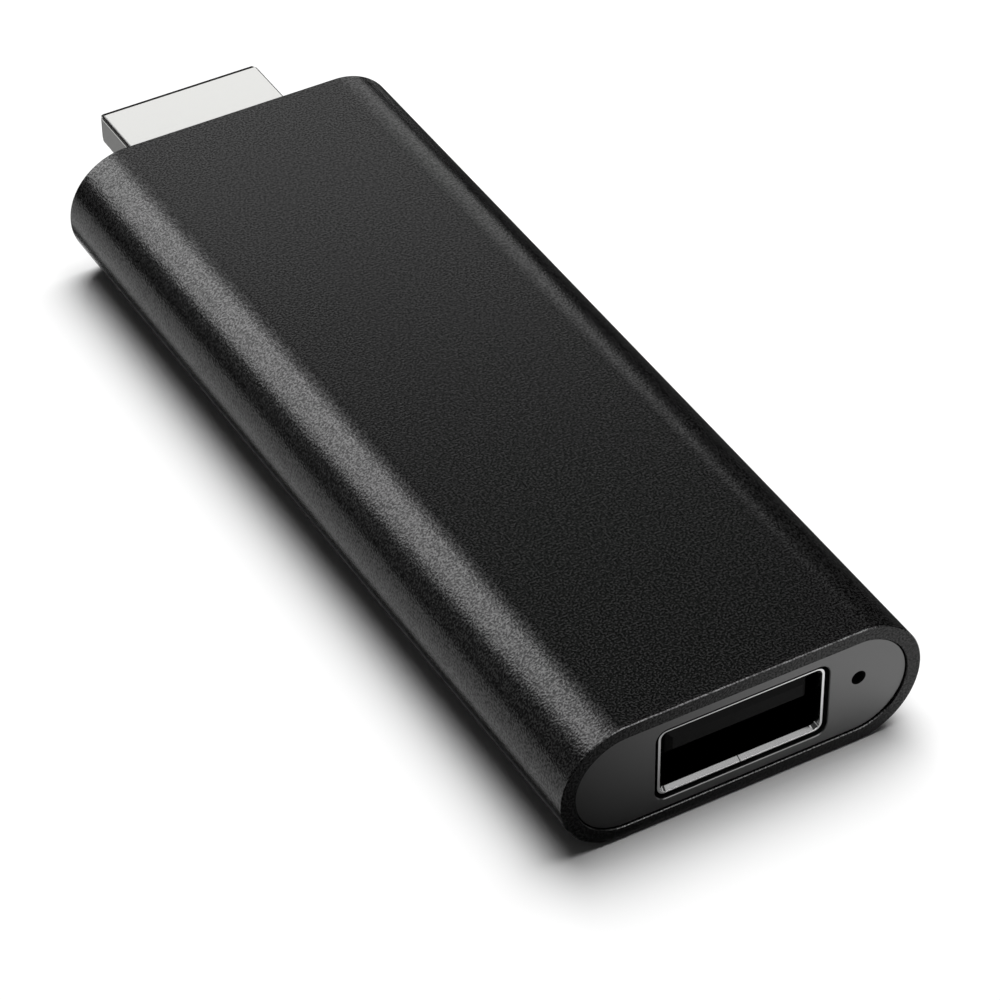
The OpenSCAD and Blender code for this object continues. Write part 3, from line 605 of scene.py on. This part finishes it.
def bezel_cap(face_y, skirt_y):
    """A cap with its face at one end and an open skirt with snap ridges at the other."""
    way = 1 if skirt_y > face_y else -1
    cap = stadium_solid(
        bezel_width, bezel_height, face_y + way * bezel_edge, skirt_y, sleeve_middle
    )
    face, skirt = (end_face(cap, pick) for pick in ((min, max) if way > 0 else (max, min)))
    step_in(cap, face, (bezel_edge, bezel_edge))
    step_in(cap, skirt, (bezel_wall, 0), (0, bezel_face_t - abs(skirt_y - face_y)))
    for side in (-1, 1):
        for x in (-ridge_x, ridge_x):
            ridge = add_block(cap, (ridge_length, ridge_width, 2 * ridge_height))
            crown = [v for v in ridge if v.co.z * side > 0]
            bmesh.ops.scale(cap, verts=crown, vec=(1, ridge_crown, 1))
            ridge_z = sleeve_middle + side * bezel_height / 2
            bmesh.ops.translate(cap, verts=ridge, vec=(x, skirt_y - way * ridge_set, ridge_z))
    return cap


def ease(cutter, mouth_y):
    """Spreads one end of a cutter by two breaks a side, which breaks a window's edge by one."""
    mouth = [v for v in cutter.verts if abs(v.co.y - mouth_y) < touch]
    low, high = (Vector(pick(v.co[i] for v in mouth) for i in range(3)) for pick in (min, max))
    spread = [1 + 4 * window_break / (high[i] - low[i]) if i != 1 else 1 for i in range(3)]
    bmesh.ops.scale(cutter, verts=mouth, vec=spread, space=Matrix.Translation(-(low + high) / 2))
    return cutter


usb_gap, plug_gap = 0.3 * MM, 0.25 * MM
front_cap = bezel_cap(front_low.y, front_high.y)
pin_width, pin_depth, guide_width = 1.14 * MM, 2 * MM, 2.34 * MM
plunger_low, plunger_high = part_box("reset_plunger")
pin_x, pin_z = (plunger_low.x + plunger_high.x) / 2, (plunger_low.z + plunger_high.z) / 2


def pin_rod(width, y_from, y_to):
    """A round rod on the pinhole's axis."""
    rod = bmesh.new()
    bmesh.ops.create_circle(rod, cap_ends=True, radius=width / 2, segments=48)
    move(upright(rod, y_from, pin_z), (pin_x, 0, 0))
    return pull(rod, (0, y_to - y_from, 0))


def port_window(y_from, y_to):
    """A block with the outline of the port's window."""
    plate = round_plate(usb_width + 2 * usb_gap, usb_height + 2 * usb_gap, usb_corner + usb_gap)
    return pull(upright(plate, y_from, usb_middle), (0, y_to - y_from, 0))


front_face = front_low.y
pin_guide = pin_rod(guide_width, front_face + bezel_face_t / 2, front_face + pin_depth)
front_cap = carve(front_cap, pin_guide, "UNION")
front_cap = carve(front_cap, pin_rod(pin_width, front_face - past, front_face + pin_depth + past))
front_cap = carve(front_cap, port_window(front_face - past, front_face + bezel_face_t + past))
brow = front_face - window_break, front_face + window_break
front_cap = carve(front_cap, ease(port_window(*brow), brow[0]))

rear_face = rear_high.y
rear_cap = bezel_cap(rear_face, rear_low.y)
plug_window = plug_section(-plug_gap, rear_face - bezel_face_t - past, rear_face + past)
rear_cap = carve(rear_cap, plug_window)
brow = rear_face - window_break, rear_face + window_break
rear_cap = carve(rear_cap, ease(plug_section(-plug_gap, *brow), brow[1]))

# Moulded PC: smooth satin grey, with faint clouds where the melt flowed.
satin_pc, tree, shader, place = new_material("moulded_pc_satin_grey")
flow = noise(tree, place, 2.5, 2.0)
shades = two_tones(tree, flow, "#191919", "#1d1d1d")
haze = noise(tree, place, 0.08, 2.0)
relief = bump(tree, haze, 0.08, 0.01)
feed(tree, shader, {
    "Base Color": shades, "Normal": relief, "Roughness": 0.3, "IOR": 1.58,
    "Coat Weight": 0.8, "Coat Roughness": 0.2,
})
add_piece("front_cap", front_cap, satin_pc, "bezel", "front_bezel", crease=35)
add_piece("rear_cap", rear_cap, satin_pc, "bezel", "rear_bezel", crease=35)


# Floor: a sheet of matte white paper that the stick lies on. It takes the shadow and
# mirrors nothing.
floor_reach, floor_drop = 2.0, 0.02 * MM
floor_shape = bmesh.new()
bmesh.ops.create_grid(floor_shape, x_segments=1, y_segments=1, size=floor_reach)
move(floor_shape, (0, 0, -floor_drop))
floor_mesh = bpy.data.meshes.new("floor")
floor_shape.to_mesh(floor_mesh)
floor_shape.free()
floor = bpy.data.objects.new("floor", floor_mesh)
bpy.context.scene.collection.objects.link(floor)
paper, tree, shader, place = new_material("matte_white_paper")
feed(tree, shader, {"Base Color": colour("#ffffff"), "Roughness": 0.9, "Specular IOR Level": 0.0})
floor_mesh.materials.append(paper)


# Lamps: a wide soft lamp overhead lights the stick and the floor. Round it stand lit cards
# that only the stick mirrors: a panel behind that fades along the top, a strip and its skirt
# that draw the left side's streak, one for the front edge, and dimmer ones for other sides.
def add_lamp(name, radiance, size, centre):
    """A flat lamp of a given brightness that faces the stick."""
    lamp = bpy.data.lights.new(name, "AREA")
    lamp.shape = "RECTANGLE"
    lamp.size, lamp.size_y = size
    lamp.energy = radiance * math.pi * size[0] * size[1]
    holder = bpy.data.objects.new(name, lamp)
    bpy.context.scene.collection.objects.link(holder)
    holder.location = centre
    holder.rotation_euler = (-centre).to_track_quat("-Z", "Y").to_euler()
    holder.visible_camera = False
    return holder


def around(azimuth, elevation, distance):
    """A point round the stick: azimuth from +Y towards +X, in degrees."""
    a, e = math.radians(azimuth), math.radians(elevation)
    return Vector((math.sin(a) * math.cos(e), math.cos(a) * math.cos(e), math.sin(e))) * distance


add_lamp("overhead_lamp", 5.6, (0.8, 0.8), around(46, 72, 0.9)).visible_glossy = False
whole_stick, sleeve_alone = map(bpy.data.collections.new, ("whole_stick", "sleeve_alone"))
for part in [o for o in bpy.context.scene.objects if o.type == "MESH" and o != floor]:
    whole_stick.objects.link(part)
sleeve_alone.objects.link(sleeve_piece)
for card_name, card_radiance, card_size, card_place, mirrored_by in (
    ("back_panel", 1.5, (0.28, 0.17), around(17.5, 21, 0.27), whole_stick),
    ("left_strip", 7.5, (0.44, 0.52), around(-24.3, 38.5, 0.8), sleeve_alone),
    ("streak_skirt", 2.6, (0.26, 0.16), around(0, 47, 0.78), sleeve_alone),
    ("left_card", 0.4, (1.6, 0.3), around(-85, 12, 0.8), whole_stick),
    ("right_card", 0.6, (1.4, 0.3), around(110, 14, 0.8), whole_stick),
    ("front_card", 3.6, (1.0, 0.3), around(168, 35, 0.8), whole_stick),
    ("rim_card", 10.0, (0.5, 0.22), around(155, 42, 0.78), sleeve_alone),
    ("lip_card", 0.46, (0.3, 0.3), around(108, 66, 0.8), whole_stick),
    ("zenith_card", 1.1, (0.5, 0.5), around(0, 90, 0.8), whole_stick),
    ("zenith_strip", 3.0, (0.5, 0.5), around(0, 90, 0.78), sleeve_alone),
):
    card = add_lamp(card_name, card_radiance, card_size, card_place)
    card.visible_diffuse = False
    card.light_linking.receiver_collection = mirrored_by


# Flags: grey and black cards on the floor that only mirrors see, like studio flags but seen by
# nothing else: painted shade in what the stick mirrors. One lies before the front end and darkens
# its left, graded to white towards the right, one along each side darkens the sides' lower
# edges, two lie round the plug, and a low ring is a dark horizon.
def add_flag(name, shape, shade, grade=None):
    """A matte card that only mirrors see, which paints a darker reflection, in one shade or graded
    from it to white along X.
    """
    mesh = bpy.data.meshes.new(name)
    shape.to_mesh(mesh)
    shape.free()
    paint, tree, shader, place = new_material(name + "_paint")
    tone = colour(shade)
    if grade:
        along = add_node(tree, "SeparateXYZ", {"Vector": place})
        share = add_node(
            tree, "MapRange",
            {"Value": along.outputs["X"], "From Min": grade[0] * MM, "From Max": grade[1] * MM},
        )
        tone = two_tones(tree, share.outputs["Result"], shade, "#ffffff")
    feed(tree, shader, {"Base Color": tone, "Roughness": 0.9})
    mesh.materials.append(paint)
    flag = bpy.data.objects.new(name, mesh)
    bpy.context.scene.collection.objects.link(flag)
    flag.visible_camera = flag.visible_diffuse = False
    flag.visible_shadow = flag.visible_transmission = False


for flag_name, flag_shade, flag_grade, flag_from, flag_to in (
    ("front_flag", "#4a4a4a", (-11, 11), (-60, -100, 0.01), (24, -42.6, 0.02)),
    ("left_flag", "#141414", None, (-16.3, -60, 0.01), (-14, 60, 0.02)),
    ("right_flag", "#3c3c3c", None, (15, -38, 0.01), (90, 60, 0.02)),
    ("side_flag", "#909090", None, (-14, 37, 0.01), (-8, 53, 0.02)),
    ("tip_flag", "#0a0a0a", None, (-7.5, 43, 0.01), (22, 90, 0.02)),
):
    low, high = Vector(flag_from) * MM, Vector(flag_to) * MM
    sheet = bmesh.new()
    add_block(sheet, high - low, (low + high) / 2)
    add_flag(flag_name, sheet, flag_shade, flag_grade)
horizon_radius, horizon_height = 80 * MM, 15 * MM
band = bmesh.new()
bmesh.ops.create_circle(band, radius=horizon_radius, segments=96)
raised = bmesh.ops.extrude_edge_only(band, edges=band.edges[:])["geom"]
bmesh.ops.translate(band, verts=verts_of(raised), vec=(0, 0, horizon_height))
add_flag("horizon_flag", band, "#0a0a0a")

# World: a faint white dome that fills the deepest shadows.
world = bpy.data.worlds.new("studio")
bpy.context.scene.world = world
world.use_nodes = True
sky = world.node_tree
feed(sky, sky.nodes["Background"], {"Color": colour("#ffffff"), "Strength": 0.03})


# Camera: in front of the port's end, to its left and above, as the photograph was taken.
# Its place, its angles and its lens come from the fit to the edges in the photo.
camera_place = Vector((-114.673, -212.163, 199.903)) * MM
camera_azimuth, camera_elevation, camera_roll = map(math.radians, (29.497, 40.429, -0.506))
lens, sensor = 151.92, 36.0
view = bpy.data.cameras.new("camera")
view.lens, view.sensor_width = lens, sensor
view.clip_start, view.clip_end = 0.01, 10
camera = bpy.data.objects.new("camera", view)
bpy.context.scene.collection.objects.link(camera)
camera.matrix_world = (
    Matrix.Translation(camera_place)
    @ Matrix.Rotation(-camera_azimuth, 4, "Z")
    @ Matrix.Rotation(math.pi / 2 - camera_elevation, 4, "X")
    @ Matrix.Rotation(camera_roll, 4, "Z")
)
bpy.context.scene.camera = camera
bpy.context.scene.view_settings.view_transform = "Standard"
